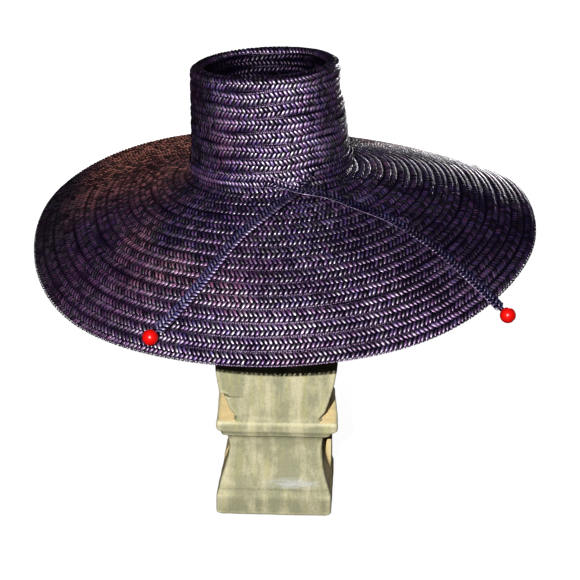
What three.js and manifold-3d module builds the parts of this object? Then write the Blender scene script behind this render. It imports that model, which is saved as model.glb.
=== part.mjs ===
// Wide-brim hat of sewn straw plait on a stone pedestal stand, in millimetres, +Z up.
// The origin is the middle of the pedestal's foot. The hat's front faces -Y, and +X is on the viewer's right.

import * as THREE from 'three';
import { mergeVertices } from 'three/addons/utils/BufferGeometryUtils.js';
import Module from 'manifold-3d';

const wasm = await Module();
wasm.setup();

const rad = THREE.MathUtils.degToRad;

// A distance too short to see, and the short shares of a route that its directions are measured over
const SMALL = 1e-9;
const SHARE_STEP = 0.005;
const END_SHARE = 0.02;

// Gap between pieces that touch on the real thing
const GAP = 0.3;

// Straw: one wall of plait, sewn in rows that each stand a little proud on the outside
const WALL = 2;
const ROW = 12.7;
const ROW_RISE = 0.7;
const STEPS_ROUND = 48;

// Head oval at the foot of the crown, half sizes to the middle of the wall
const HEAD_ACROSS = 79.5;
const HEAD_LONG = 97;

// Where the crown's foot sits over the stand, the hat's lean to the viewer's left, and its turn on the
// stand, which brings its front a little to the viewer's right, in degrees
const HAT_PLACE = new THREE.Vector3(-5.5, 0, 372);
const HAT_LEAN = -3.5;
const HAT_TURN = 10;

// Crown from its foot to the flat of its sunken tip: lengths in rows, headings in degrees from outward,
// 90 is up and 180 is inward. The side wall goes up to the top of the rolled rim, and the tip from there in.
const SIDE_RUNS = [
  { rows: 7.5, from: 93.5, to: 93.5, outerSteps: 15, innerSteps: 4 },
  { rows: 0.75, from: 93.5, to: 174.25, outerSteps: 3, innerSteps: 2 },
];
const TIP_RUNS = [
  { rows: 0.75, from: 174.25, to: 255, outerSteps: 3, innerSteps: 2 },
  { rows: 1.5, from: 255, to: 255, outerSteps: 3, innerSteps: 1 },
  { rows: 0.5, from: 255, to: 180, outerSteps: 2, innerSteps: 2 },
];
const CROWN_RUNS = [...SIDE_RUNS, ...TIP_RUNS];
const FLAT_OUTER_STEPS = 8;
const FLAT_INNER_STEPS = 2;

// Turn from the crown's wall to the brim, the brim's rows, and how many of them its inner ring has
const TURN_ROWS = 0.9;
const BRIM_ROWS = 15;
const INNER_ROWS = 5;
const INNER_UNDER_STEPS = 6;
const OUTER_UNDER_STEPS = 6;

// Brim by direction, 0 at the hat's front and 90 at its left side, which is the viewer's right: slope below
// level beside the crown, slope at the outer edge, and width from the crown's foot
const BRIM = [
  { toward: 0, start: 21, edge: 58, width: 198 },
  { toward: 30, start: 18, edge: 48, width: 208 },
  { toward: 60, start: 12, edge: 33, width: 202 },
  { toward: 90, start: 6, edge: 23, width: 189 },
  { toward: 120, start: 6, edge: 23, width: 189 },
  { toward: 150, start: 5, edge: 17, width: 189 },
  { toward: 180, start: 2, edge: 11, width: 188 },
  { toward: 210, start: 1, edge: 11, width: 186 },
  { toward: 240, start: 6, edge: 18, width: 187 },
  { toward: 270, start: 14, edge: 32, width: 186 },
  { toward: 300, start: 20, edge: 45, width: 196 },
  { toward: 330, start: 20, edge: 57, width: 196 },
];

// Soft dents in the crown: direction, height above its foot, depth inward, and how far each spreads
const DENTS = [
  { toward: 92, height: 76, depth: 4, degrees: 24, up: 12 },
];

// Band and ties: one flat plaited strip, lying on the ridges of the straw
const STRIP_WIDTH = 10;
const STRIP_THICKNESS = 1.8;
const STRIP_LIFT = WALL / 2 + ROW_RISE + GAP;
const BAND_STEPS = 44;
const TIE_RIGHT_STEPS = 30;
const TIE_LEFT_STEPS = 26;

// Routes of the strip: direction, distance down the straw from the crown's foot, and extra lift off it.
// The band's two ends cross at the front, the right tie over the left one.
const BAND_ROUTE = [
  { toward: -12.5, along: -4, lift: 0 },
  { toward: -60, along: -4, lift: 0 },
  { toward: -120, along: -4, lift: 0 },
  { toward: -180, along: -4, lift: 0 },
  { toward: -240, along: -4, lift: 0 },
  { toward: -300, along: -4, lift: 0 },
  { toward: -339, along: -4, lift: 0 },
];
const TIE_RIGHT_ROUTE = [
  { toward: -12, along: -3.9, lift: 0 },
  { toward: -7, along: -3.2, lift: 0.4 },
  { toward: 2, along: 4, lift: 2.3 },
  { toward: 10, along: 13, lift: 2.3 },
  { toward: 22.8, along: 25.5, lift: 0.6 },
  { toward: 30.5, along: 47.2, lift: 0 },
  { toward: 38, along: 82.4, lift: 0 },
  { toward: 41, along: 125, lift: 0 },
  { toward: 42.5, along: 184, lift: 0 },
  { toward: 43, along: 212, lift: 0 },
];
const TIE_LEFT_ROUTE = [
  { toward: 20.4, along: -3.9, lift: 0 },
  { toward: 16.5, along: -3, lift: 0 },
  { toward: 12, along: 4, lift: 0 },
  { toward: 7.5, along: 13, lift: 0 },
  { toward: 1, along: 21, lift: 0 },
  { toward: -6.5, along: 33, lift: 0 },
  { toward: -17, along: 58, lift: 0 },
  { toward: -23.2, along: 83.9, lift: 0 },
  { toward: -27, along: 110.4, lift: 0 },
  { toward: -31.5, along: 143, lift: 1 },
  { toward: -35.2, along: 171.6, lift: 6 },
];

// Beads, and the ties' narrowed ends that pass through them into a knot
const BEAD_RADIUS = 8;
const BEAD_HOLE_RADIUS = 2;
const BEAD_SIDES = 14;
const BEAD_STEPS = 9;
const BEAD_AHEAD = 13;
const TIE_END = [
  { ahead: 5, width: 2.4, thickness: 1.5 },
  { ahead: 21, width: 2.4, thickness: 1.5 },
  { ahead: 21.3, width: 4.6, thickness: 3.4 },
  { ahead: 23.4, width: 4, thickness: 3 },
  { ahead: 24.4, width: 1.6, thickness: 1.2 },
];

// Pedestal from the floor up: its plinth, waist, ledge and block, each level a rectangle with soft corners
// whose middle stands a little off the stand's own
const PEDESTAL_LEVELS = [
  { level: 0, middle: -1.5, width: 119, depth: 101 },
  { level: 1.5, middle: -1.5, width: 122, depth: 104 },
  { level: 21, middle: -1.5, width: 122, depth: 104 },
  { level: 23, middle: -1.5, width: 120, depth: 102 },
  { level: 31, middle: -1.5, width: 116, depth: 98 },
  { level: 40, middle: -1.7, width: 111, depth: 94 },
  { level: 52, middle: -1.2, width: 104, depth: 88 },
  { level: 65, middle: -0.3, width: 99, depth: 85 },
  { level: 75, middle: 0, width: 98, depth: 84 },
  { level: 84, middle: 0.3, width: 100, depth: 86 },
  { level: 89, middle: 0.5, width: 103, depth: 90 },
  { level: 90, middle: 1, width: 114, depth: 97 },
  { level: 94.5, middle: 1.3, width: 117, depth: 100 },
  { level: 96, middle: 2, width: 125, depth: 103 },
  { level: 98, middle: 2, width: 127, depth: 104 },
  { level: 105, middle: 2, width: 127, depth: 104 },
  { level: 107, middle: 2, width: 125, depth: 102 },
];
const PEDESTAL_CORNER = 4;
const PEDESTAL_CORNER_POINTS = 3;

// Flat slab at the pedestal's back, between the plinth and the block
const SLAB = { middle: -0.5, width: 117, front: 8, back: 49, bottom: 20, top: 96 };

// Flaring front of the pedestal above the block: its outline seen from the front, and its depth
const CHEST_OUTLINE = [
  { across: -30, level: 104 },
  { across: 36, level: 104 },
  { across: 46, level: 110 },
  { across: 52, level: 117 },
  { across: 56.5, level: 129 },
  { across: 61.5, level: 148 },
  { across: 64.5, level: 165 },
  { across: 66, level: 185 },
  { across: 66, level: 209 },
  { across: -63, level: 209 },
  { across: -62.5, level: 180 },
  { across: -61, level: 158 },
  { across: -59.5, level: 149 },
  { across: -57.5, level: 137 },
  { across: -52, level: 133 },
  { across: -47, level: 119 },
  { across: -39, level: 109 },
];
const CHEST_FRONT = -48;
const CHEST_DEPTH = 82;
const CHEST_BEVEL = 3;
const CHEST_TOP = 209;

// Plain post from the pedestal's top to the underside of the hat's tip
const POST_RADIUS = 16;
const POST_FOOT_RADIUS = 28;
const POST_FOOT = 8;
const POST_SIDES = 24;
const PAD_RADIUS = 40;
const PAD_UNDER_RADIUS = 37;
const PAD_THICKNESS = 8;
const PAD_SIDES = 32;

const straw = new THREE.MeshStandardMaterial({ color: 0x2a1f4d, roughness: 0.45, metalness: 0 });
const redGloss = new THREE.MeshStandardMaterial({ color: 0xe01010, roughness: 0.1, metalness: 0 });
const stone = new THREE.MeshStandardMaterial({ color: 0xc9c3a2, roughness: 0.8, metalness: 0 });
const wood = new THREE.MeshStandardMaterial({ color: 0xa88a5c, roughness: 0.7, metalness: 0 });

// Value of one column of a table that runs round the hat in equal steps, smooth all the way round
function roundTable(rows, column, toward) {
  const place = THREE.MathUtils.euclideanModulo(toward, 360) * rows.length / 360;
  const first = Math.floor(place);
  const u = place - first;
  const [a, b, c, d] = [-1, 0, 1, 2].map((k) => rows[(first + k + rows.length) % rows.length][column]);
  return b + 0.5 * u * (c - a + u * (2 * a - 5 * b + 4 * c - d + u * (3 * (b - c) + d - a)));
}

// Inward push of the dents at a height above the crown's foot
function dentDepth(toward, height) {
  let depth = 0;
  for (const dent of DENTS) {
    const away = THREE.MathUtils.euclideanModulo(toward - dent.toward + 180, 360) - 180;
    depth += dent.depth * Math.exp(-((away / dent.degrees) ** 2) - ((height - dent.height) / dent.up) ** 2);
  }
  return depth;
}

// Walks a profile of lines and arcs, and gives its place and heading at a distance; the last run goes on
function walk(runs, distance) {
  let out = 0;
  let height = 0;
  let heading = rad(runs[0].from);
  let left = distance;
  for (const run of runs) {
    const length = run.rows * ROW;
    const step = run === runs.at(-1) ? left : Math.min(left, length);
    const bend = rad(run.to - run.from) * step / length;
    const chord = Math.abs(bend) < 1e-6 ? step : step * Math.sin(bend / 2) / (bend / 2);
    heading = rad(run.from) + bend;
    out += chord * Math.cos(heading - bend / 2);
    height += chord * Math.sin(heading - bend / 2);
    left -= step;
    if (left <= 0) {
      break;
    }
  }
  return { out, height, heading };
}

// Brim profile in one direction: the turn at the crown's foot, then one long arc to the outer edge
function brimRuns(toward) {
  const start = -roundTable(BRIM, 'start', toward);
  const edge = -roundTable(BRIM, 'edge', toward);
  const width = roundTable(BRIM, 'width', toward);
  return [
    { rows: TURN_ROWS, from: CROWN_RUNS[0].from - 180, to: start },
    { rows: width / ROW - TURN_ROWS, from: start, to: edge },
  ];
}

// A point of the hat from its direction, its distance out from the head oval and its height
function onOval(toward, out, height) {
  const t = rad(toward);
  return new THREE.Vector3((HEAD_ACROSS + out) * Math.sin(t), -(HEAD_LONG + out) * Math.cos(t), height);
}

// A point on the straw: distances above 0 run down the brim, distances below 0 run up the crown.
// It is raised off the middle of the wall to the hat's outside.
function onHat(toward, along, raise) {
  const up = along < 0;
  const at = walk(up ? CROWN_RUNS : brimRuns(toward), Math.abs(along));
  const side = up ? 1 : -1;
  const dent = up ? dentDepth(toward, at.height) : 0;
  const out = at.out - dent + side * raise * Math.sin(at.heading);
  return onOval(toward, out, at.height - side * raise * Math.cos(at.heading));
}

// How far the outside stands proud at a distance down a profile: a low ridge along every row of plait
function outside(distance) {
  return WALL / 2 + ROW_RISE * Math.abs(Math.sin(Math.PI * distance / ROW));
}

function lengthOf(runs) {
  return runs.reduce((sum, run) => sum + run.rows * ROW, 0);
}

// Distances of the rings along some runs of a profile, each run in equal steps
function stations(runs, column, from) {
  const list = [from];
  let start = from;
  for (const run of runs) {
    for (let i = 1; i <= run[column]; i++) {
      list.push(start + run.rows * ROW * i / run[column]);
    }
    start += run.rows * ROW;
  }
  return list;
}

// One ring of points round the hat
function ring(point) {
  return Array.from({ length: STEPS_ROUND }, (_, k) => point(360 * k / STEPS_ROUND));
}

// Turns a closed mesh so that its faces point out
function facingOut(geometry) {
  const p = geometry.getAttribute('position');
  const index = geometry.getIndex().array;
  const [a, b, c] = [new THREE.Vector3(), new THREE.Vector3(), new THREE.Vector3()];
  let volume = 0;
  for (let i = 0; i < index.length; i += 3) {
    a.fromBufferAttribute(p, index[i]);
    b.fromBufferAttribute(p, index[i + 1]);
    c.fromBufferAttribute(p, index[i + 2]);
    volume += a.dot(b.cross(c));
  }
  if (volume < 0) {
    for (let i = 0; i < index.length; i += 3) {
      [index[i + 1], index[i + 2]] = [index[i + 2], index[i + 1]];
    }
  }
  return geometry;
}

// Geometry with positions alone, and its shared corners merged
function bare(geometry) {
  const copy = geometry.clone();
  copy.deleteAttribute('normal');
  copy.deleteAttribute('uv');
  const merged = mergeVertices(copy, 1e-3);
  const index = merged.getIndex().array;
  const kept = [];
  for (let i = 0; i < index.length; i += 3) {
    const [a, b, c] = index.slice(i, i + 3);
    if (a !== b && b !== c && c !== a) {
      kept.push(a, b, c);
    }
  }
  merged.setIndex(kept);
  return merged;
}

// Closed mesh through rings of points. The rings run round on themselves, or end on flat caps, or on
// rings that have shrunk to a line and close by themselves.
function skin(rings, ends) {
  const n = rings[0].length;
  const positions = rings.flatMap((points) => points.flatMap((p) => [p.x, p.y, p.z]));
  const index = [];
  const count = ends === 'round' ? rings.length : rings.length - 1;
  for (let i = 0; i < count; i++) {
    const a = i * n;
    const b = ((i + 1) % rings.length) * n;
    for (let j = 0; j < n; j++) {
      const k = (j + 1) % n;
      index.push(a + j, b + j, b + k, a + j, b + k, a + k);
    }
  }
  if (ends === 'caps') {
    const last = (rings.length - 1) * n;
    for (let j = 1; j < n - 1; j++) {
      index.push(0, j, j + 1, last, last + j + 1, last + j);
    }
  }
  const loose = new THREE.BufferGeometry();
  loose.setAttribute('position', new THREE.Float32BufferAttribute(positions, 3));
  loose.setIndex(index);
  return facingOut(bare(loose));
}

// Side wall of the crown: outside from its foot to the top of the rolled rim, then the inside back down
function crownSide() {
  const wall = (distance, raise) => ring((toward) => onHat(toward, Math.min(-distance, -SMALL), raise));
  const outer = stations(SIDE_RUNS, 'outerSteps', 0).map((d) => wall(d, outside(d)));
  const inner = stations(SIDE_RUNS, 'innerSteps', 0).map((d) => wall(d, -WALL / 2));
  return skin([...outer, ...inner.reverse()], 'round');
}

// Sunken tip: outside from its middle line over to the top of the rim, then the underside back
function crownTip() {
  const flatStart = lengthOf(CROWN_RUNS);
  const flat = walk(CROWN_RUNS, flatStart);
  const flatLength = HEAD_ACROSS + flat.out;
  const surface = (toward, distance, raise) => {
    if (distance <= flatStart) {
      return onHat(toward, -distance, raise);
    }
    return onOval(toward, Math.max(flat.out + flatStart - distance, -HEAD_ACROSS), flat.height + raise);
  };
  const distances = (column, flatSteps) => {
    const [first, ...rest] = stations(TIP_RUNS, column, lengthOf(SIDE_RUNS));
    const across = Array.from({ length: flatSteps }, (_, k) => flatStart + flatLength * (k + 1) / flatSteps);
    return [first + GAP, ...rest, ...across];
  };
  const outer = distances('outerSteps', FLAT_OUTER_STEPS);
  const inner = distances('innerSteps', FLAT_INNER_STEPS);
  const outerRings = outer.map((d) => ring((toward) => surface(toward, d, outside(d))));
  const innerRings = inner.map((d) => ring((toward) => surface(toward, d, -WALL / 2)));
  return skin([...outerRings.reverse(), ...innerRings], 'lines');
}

// Ring of the brim between two of its rows: its top outward, then its underside back
function brimRing(first, last, underSteps) {
  const rings = (steps, raise) => Array.from({ length: steps + 1 }, (_, k) => {
    const row = first + (last - first) * k / steps;
    const start = k === 0 ? GAP : 0;
    return ring((t) => onHat(t, start + row / BRIM_ROWS * roundTable(BRIM, 'width', t), raise(row)));
  });
  const top = rings(2 * (last - first), (row) => outside(row * ROW));
  const under = rings(underSteps, () => -WALL / 2);
  return skin([...top, ...under.reverse()], 'round');
}

// Millimetres round the hat for one degree of direction, at a place on the straw
function perDegree(toward, along) {
  return onHat(toward + 0.5, along, 0).distanceTo(onHat(toward - 0.5, along, 0));
}

// Cross-section of the strip at a share of its route, as bottom left, bottom right, top right, top left
function stripSection(curve, u) {
  const at = curve.getPoint(u);
  const ahead = curve.getPoint(Math.min(u + SHARE_STEP, 1)).sub(curve.getPoint(Math.max(u - SHARE_STEP, 0)));
  const scale = perDegree(at.x, at.y);
  const run = Math.hypot(ahead.x * scale, ahead.y);
  const corner = (side, raise) => {
    const aside = side * STRIP_WIDTH / 2 / run;
    return onHat(at.x + aside * ahead.y / scale, at.y - aside * ahead.x * scale, STRIP_LIFT + at.z + raise);
  };
  return [corner(-1, 0), corner(1, 0), corner(1, STRIP_THICKNESS), corner(-1, STRIP_THICKNESS)];
}

// Middle, forward direction and two cross directions of the strip's far end
function stripEnd(curve) {
  const middle = (section) => section.reduce((sum, p) => sum.add(p), new THREE.Vector3()).divideScalar(4);
  const section = stripSection(curve, 1);
  const place = middle(section);
  const forward = place.clone().sub(middle(stripSection(curve, 1 - END_SHARE))).normalize();
  const across = section[1].clone().sub(section[0]).normalize();
  const up = new THREE.Vector3().crossVectors(across, forward).normalize();
  return { place, forward, up, across: new THREE.Vector3().crossVectors(forward, up) };
}

function routeCurve(route) {
  const points = route.map((row) => new THREE.Vector3(row.toward, row.along, row.lift));
  return new THREE.CatmullRomCurve3(points, false, 'catmullrom');
}

// Strip of plait along a route, with the narrowed end and knot that hold a bead where it has one
function strip(route, steps, endTable) {
  const curve = routeCurve(route);
  const rings = Array.from({ length: steps + 1 }, (_, k) => stripSection(curve, k / steps));
  const end = stripEnd(curve);
  for (const row of endTable) {
    const middle = end.place.clone().addScaledVector(end.forward, row.ahead);
    const corner = (side, level) => middle.clone()
      .addScaledVector(end.across, side * row.width / 2)
      .addScaledVector(end.up, level * row.thickness / 2);
    rings.push([corner(-1, -1), corner(1, -1), corner(1, 1), corner(-1, 1)]);
  }
  return skin(rings, 'caps');
}

// Bead with a hole along its axis, standing on the line of its tie's end
function bead(route) {
  const end = stripEnd(routeCurve(route));
  const mouth = Math.acos(BEAD_HOLE_RADIUS / BEAD_RADIUS);
  const profile = Array.from({ length: BEAD_STEPS + 1 }, (_, k) => {
    const turn = mouth * (2 * k / BEAD_STEPS - 1);
    return new THREE.Vector2(BEAD_RADIUS * Math.cos(turn), BEAD_RADIUS * Math.sin(turn));
  });
  profile.push(profile[0].clone());
  const lathe = bare(new THREE.LatheGeometry(profile, BEAD_SIDES));
  lathe.applyQuaternion(new THREE.Quaternion().setFromUnitVectors(new THREE.Vector3(0, 1, 0), end.forward));
  const middle = end.place.clone().addScaledVector(end.forward, BEAD_AHEAD);
  lathe.translate(middle.x, middle.y, middle.z);
  return facingOut(lathe);
}

function toSolid(geometry) {
  const plain = facingOut(bare(geometry));
  const vertProperties = new Float32Array(plain.getAttribute('position').array);
  const triVerts = new Uint32Array(plain.getIndex().array);
  return new wasm.Manifold(new wasm.Mesh({ numProp: 3, vertProperties, triVerts }));
}

function fromSolid(solid) {
  const mesh = solid.getMesh();
  const geometry = new THREE.BufferGeometry();
  geometry.setAttribute('position', new THREE.Float32BufferAttribute(mesh.vertProperties, 3));
  geometry.setIndex(Array.from(mesh.triVerts));
  return geometry;
}

// Ring of points round a rectangle with soft corners at one level
function softRectangle({ level, middle, width, depth }) {
  const points = [];
  for (const [sx, sy, first] of [[1, -1, -90], [1, 1, 0], [-1, 1, 90], [-1, -1, 180]]) {
    for (let k = 0; k < PEDESTAL_CORNER_POINTS; k++) {
      const turn = rad(first + 90 * k / (PEDESTAL_CORNER_POINTS - 1));
      const x = middle + sx * (width / 2 - PEDESTAL_CORNER) + PEDESTAL_CORNER * Math.cos(turn);
      const y = sy * (depth / 2 - PEDESTAL_CORNER) + PEDESTAL_CORNER * Math.sin(turn);
      points.push(new THREE.Vector3(x, y, level));
    }
  }
  return points;
}

// Pedestal: the stack of levels, the slab at its back and the flaring front above the block, one stone
function pedestal() {
  const stack = toSolid(skin(PEDESTAL_LEVELS.map(softRectangle), 'caps'));
  const slabBox = new THREE.BoxGeometry(SLAB.width, SLAB.back - SLAB.front, SLAB.top - SLAB.bottom);
  slabBox.translate(SLAB.middle, (SLAB.front + SLAB.back) / 2, (SLAB.top + SLAB.bottom) / 2);
  const shape = new THREE.Shape(CHEST_OUTLINE.map((row) => new THREE.Vector2(row.across, row.level)));
  const chest = new THREE.ExtrudeGeometry(shape, {
    depth: CHEST_DEPTH - 2 * CHEST_BEVEL,
    bevelSize: CHEST_BEVEL,
    bevelOffset: -CHEST_BEVEL,
    bevelThickness: CHEST_BEVEL,
    bevelSegments: 2,
  });
  chest.rotateX(Math.PI / 2);
  chest.translate(0, CHEST_FRONT + CHEST_DEPTH - CHEST_BEVEL, 0);
  return fromSolid(stack.add(toSolid(slabBox)).add(toSolid(chest)));
}

// Post: a foot on the pedestal, a plain shaft and a pad that leans with the hat under its tip
function hatPost(hatMatrix) {
  const padTop = walk(CROWN_RUNS, lengthOf(CROWN_RUNS)).height - WALL / 2 - GAP;
  const pad = new THREE.CylinderGeometry(PAD_RADIUS, PAD_UNDER_RADIUS, PAD_THICKNESS, PAD_SIDES);
  pad.rotateX(Math.PI / 2);
  pad.translate(0, 0, padTop - PAD_THICKNESS / 2);
  pad.applyMatrix4(hatMatrix);
  const middle = new THREE.Vector3(0, 0, padTop - PAD_THICKNESS / 2).applyMatrix4(hatMatrix);
  const bottom = CHEST_TOP + GAP;
  const profile = [
    new THREE.Vector2(0, bottom),
    new THREE.Vector2(POST_FOOT_RADIUS, bottom),
    new THREE.Vector2(POST_FOOT_RADIUS, bottom + POST_FOOT),
    new THREE.Vector2(POST_RADIUS, bottom + 2 * POST_FOOT),
    new THREE.Vector2(POST_RADIUS, middle.z),
    new THREE.Vector2(0, middle.z),
  ];
  const shaft = new THREE.LatheGeometry(profile, POST_SIDES);
  shaft.rotateX(Math.PI / 2);
  shaft.translate(middle.x, middle.y, 0);
  return fromSolid(toSolid(shaft).add(toSolid(pad)));
}

// Nodes of the scene, the hat's in its own turned and leaning group
const part = new THREE.Group();
const hat = new THREE.Group();
hat.position.copy(HAT_PLACE);
hat.rotation.set(0, rad(HAT_LEAN), rad(HAT_TURN), 'YZX');
hat.updateMatrix();
part.add(hat);

function addTo(group, name, geometry, material) {
  const mesh = new THREE.Mesh(geometry, material);
  mesh.name = name;
  group.add(mesh);
}

addTo(hat, 'crown_side', crownSide(), straw);
addTo(hat, 'crown_tip', crownTip(), straw);
addTo(hat, 'brim_inner', brimRing(0, INNER_ROWS, INNER_UNDER_STEPS), straw);
addTo(hat, 'brim_outer', brimRing(INNER_ROWS, BRIM_ROWS, OUTER_UNDER_STEPS), straw);
addTo(hat, 'hat_band', strip(BAND_ROUTE, BAND_STEPS, []), straw);
addTo(hat, 'tie_right', strip(TIE_RIGHT_ROUTE, TIE_RIGHT_STEPS, TIE_END), straw);
addTo(hat, 'tie_left', strip(TIE_LEFT_ROUTE, TIE_LEFT_STEPS, TIE_END), straw);
addTo(hat, 'bead_right', bead(TIE_RIGHT_ROUTE), redGloss);
addTo(hat, 'bead_left', bead(TIE_LEFT_ROUTE), redGloss);
addTo(part, 'pedestal', pedestal(), stone);
addTo(part, 'hat_post', hatPost(hat.matrix), wood);

export default part;
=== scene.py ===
# Wide-brim hat of sewn straw plait with two beaded ties, on a cast stone pedestal stand.
# It is laid out as an add-on: property groups hold the sizes and colours, each group of pieces has
# an operator, and a panel lists them. Lengths are in metres, +Z is up and the hat's front faces -Y.

import math

import bpy
import numpy as np
from mathutils import Matrix, Vector


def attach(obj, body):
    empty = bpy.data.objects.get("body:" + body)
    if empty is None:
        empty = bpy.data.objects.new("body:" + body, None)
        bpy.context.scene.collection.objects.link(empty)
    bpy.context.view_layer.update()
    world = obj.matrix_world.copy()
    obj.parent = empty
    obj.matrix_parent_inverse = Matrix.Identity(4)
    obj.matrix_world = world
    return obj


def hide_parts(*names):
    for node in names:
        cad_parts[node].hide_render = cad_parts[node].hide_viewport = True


bl_info = {
    "name": "Wide-brim straw hat",
    "version": (1, 0, 0),
    "blender": (4, 5, 0),
    "location": "View3D > Sidebar > Straw hat",
    "description": "Models a wide-brim hat of sewn straw plait on a stone pedestal stand",
    "category": "Object",
}

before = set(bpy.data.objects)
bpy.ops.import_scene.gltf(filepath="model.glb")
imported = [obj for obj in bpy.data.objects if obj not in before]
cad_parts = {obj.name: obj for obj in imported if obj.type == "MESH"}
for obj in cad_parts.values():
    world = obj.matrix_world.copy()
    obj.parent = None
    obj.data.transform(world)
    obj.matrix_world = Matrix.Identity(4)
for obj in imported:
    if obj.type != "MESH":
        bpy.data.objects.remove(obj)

MM = 0.001

# Crown from its foot to the start of its sunken tip: lengths in rows, headings in degrees from outward
CROWN_RUNS = [
    {"rows": 7.5, "from": 93.5, "to": 93.5},
    {"rows": 1.5, "from": 93.5, "to": 255},
    {"rows": 1.5, "from": 255, "to": 255},
    {"rows": 0.5, "from": 255, "to": 180},
]
CROWN_ROWS = 11
TIP_ROWS = 5
CROWN_END = CROWN_ROWS + TIP_ROWS
TURN_ROWS = 0.9
BRIM_ROWS = 15
SMOOTH_UNDER = math.radians(50)
MERGE_UNDER = 1e-5

# Pieces of the crown and brim: the node that each stands for, the rows of its plait and of the shell
# behind it, and the gloss and brightness of its strokes
CROWN_PIECES = [
    {"name": "crown_side_plait", "node": "crown_side", "rows": (0, 9), "shell": (0.05, 9),
     "look": (1.3, 1.4)},
    # The tip's dimmer strokes, with its darker material, are painted shade in the sunken tip
    {"name": "crown_tip_plait", "node": "crown_tip", "rows": (9, CROWN_END), "shell": (9, CROWN_END),
     "look": (0.12, 0.8)},
]
BRIM_PIECES = [
    {"name": "brim_plait_inner", "node": "brim_inner", "rows": (0, 5), "shell": (0.05, 5), "look": (1, 1)},
    {"name": "brim_plait_middle", "node": "brim_outer", "rows": (5, 9), "shell": (5, 9), "look": (1, 1)},
    {"name": "brim_plait_outer", "node": "brim_outer", "rows": (9, 12), "shell": (9, 12), "look": (1, 1)},
    {"name": "brim_plait_edge", "node": "brim_outer", "rows": (12, 15), "shell": (12, 14.88), "look": (1, 1)},
]

# Brim by direction, 0 at the hat's front: degrees down beside the crown and at the edge, and width in mm
BRIM = [
    {"toward": 0, "start": 21, "edge": 58, "width": 198},
    {"toward": 30, "start": 18, "edge": 48, "width": 208},
    {"toward": 60, "start": 12, "edge": 33, "width": 202},
    {"toward": 90, "start": 6, "edge": 23, "width": 189},
    {"toward": 120, "start": 6, "edge": 23, "width": 189},
    {"toward": 150, "start": 5, "edge": 17, "width": 189},
    {"toward": 180, "start": 2, "edge": 11, "width": 188},
    {"toward": 210, "start": 1, "edge": 11, "width": 186},
    {"toward": 240, "start": 6, "edge": 18, "width": 187},
    {"toward": 270, "start": 14, "edge": 32, "width": 186},
    {"toward": 300, "start": 20, "edge": 45, "width": 196},
    {"toward": 330, "start": 20, "edge": 57, "width": 196},
]

# Soft dents in the crown: direction, height above its foot, depth inward, and spread, lengths in mm
DENTS = [
    {"toward": 92, "height": 76, "depth": 4, "degrees": 24, "up": 12},
]

# Routes of the plaited strip: direction, distance down the straw from the crown's foot, lift, in mm
BAND_ROUTE = [
    {"toward": toward, "along": -4, "lift": 0} for toward in (-12.5, -60, -120, -180, -240, -300, -339)]
TIE_RIGHT_ROUTE = [
    {"toward": -12, "along": -3.9, "lift": 0},
    {"toward": -7, "along": -3.2, "lift": 0.4},
    {"toward": 2, "along": 4, "lift": 2.3},
    {"toward": 10, "along": 13, "lift": 2.3},
    {"toward": 22.8, "along": 25.5, "lift": 0.6},
    {"toward": 30.5, "along": 47.2, "lift": 0},
    {"toward": 38, "along": 82.4, "lift": 0},
    {"toward": 41, "along": 125, "lift": 0},
    {"toward": 42.5, "along": 184, "lift": 0},
    {"toward": 43, "along": 212, "lift": 0},
]
TIE_LEFT_ROUTE = [
    {"toward": 20.4, "along": -3.9, "lift": 0},
    {"toward": 16.5, "along": -3, "lift": 0},
    {"toward": 12, "along": 4, "lift": 0},
    {"toward": 7.5, "along": 13, "lift": 0},
    {"toward": 1, "along": 21, "lift": 0},
    {"toward": -6.5, "along": 33, "lift": 0},
    {"toward": -17, "along": 58, "lift": 0},
    {"toward": -23.2, "along": 83.9, "lift": 0},
    {"toward": -27, "along": 110.4, "lift": 0},
    {"toward": -31.5, "along": 143, "lift": 1},
    {"toward": -35.2, "along": 171.6, "lift": 6},
]

# Ties: route, seed, and the cord on one edge, aside in strip widths and pale on the right tie alone
TIES = [
    {"side": "right", "route": TIE_RIGHT_ROUTE, "seed": 71, "cord_aside": -0.51, "cord_pale": 1},
    {"side": "left", "route": TIE_LEFT_ROUTE, "seed": 72, "cord_aside": 0.51, "cord_pale": 0},
]
CROWN_SEED, BRIM_SEED, BAND_SEED, WAVER_SEED = 10, 40, 70, 100

# Floor, lights and camera: angles in degrees, and the lens's distance in the photo's own pixels
FLOOR = {"size": 16, "middle": (0, 4, -0.0003)}
LIGHTS = [
    {"name": "key", "at": (-0.06, -1.8, 0.957), "size": 0.016, "power": 100},
    {"name": "back_right", "at": (0.80, 2.69, 0.5), "size": 0.4, "power": 24},
    {"name": "side_right", "at": (2.4, 1.5, 0.5), "size": 0.4, "power": 2},
]
LIGHTS_AIM = (0, 0, 0.32)
STUDIO_GLOW = 0.004
VIEW = {"turn": 3, "down": 19, "distance": 1.5, "target": (0.0134, 0, 0.235), "lens_pixels": 1442.3}
PHOTO_PIXELS = 580
SENSOR_MM = 36


# Sizes and colours that a user would change

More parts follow.
